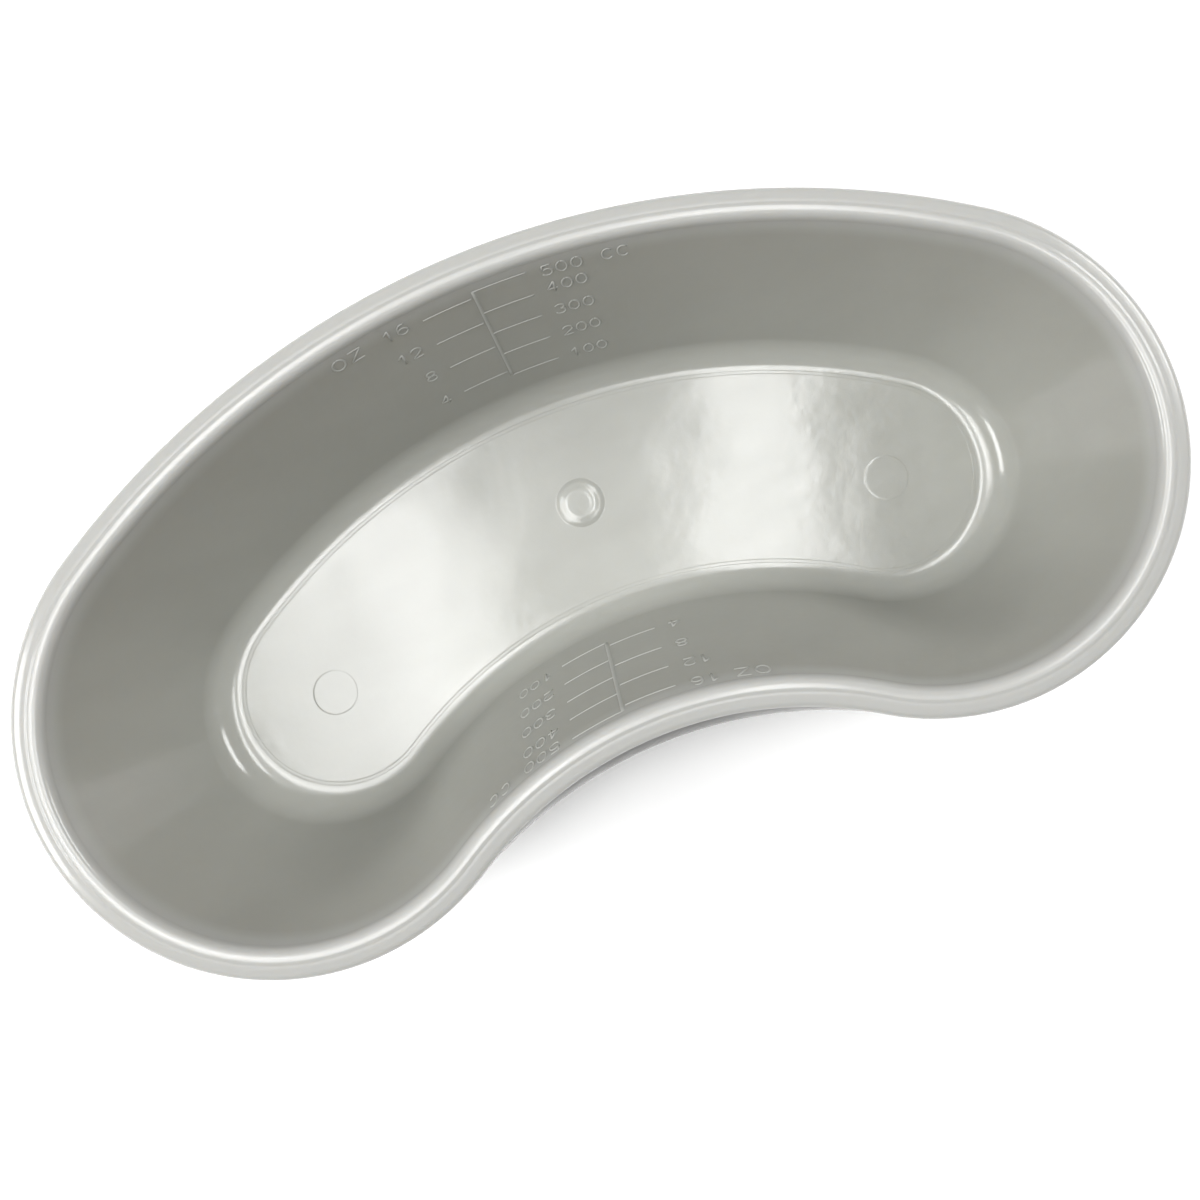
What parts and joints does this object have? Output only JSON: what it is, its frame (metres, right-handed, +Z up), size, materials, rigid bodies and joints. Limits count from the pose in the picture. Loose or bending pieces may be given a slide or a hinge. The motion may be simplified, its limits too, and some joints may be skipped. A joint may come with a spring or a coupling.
{
  "type": "kidney dish",
  "caption": "Kidney-shaped emesis basin moulded as a single shell, with sloping graduated walls, a rounded rim with a turned-down skirt, and a flat raised floor.",
  "frame": {"origin": "centre of the dish's plan, on the surface that its foot ring stands on", "axes": "+X along the dish, +Y towards the bulging back, -Y towards the hollow front, +Z up out of the dish"},
  "size_m": [0.2166, 0.111, 0.0505],
  "materials": {
    "grey_polypropylene": "glossy light grey injection-moulded polypropylene, slightly translucent"
  },
  "bodies": {
    "root": {"kidney_dish": "grey_polypropylene"}
  },
  "joints": []
}
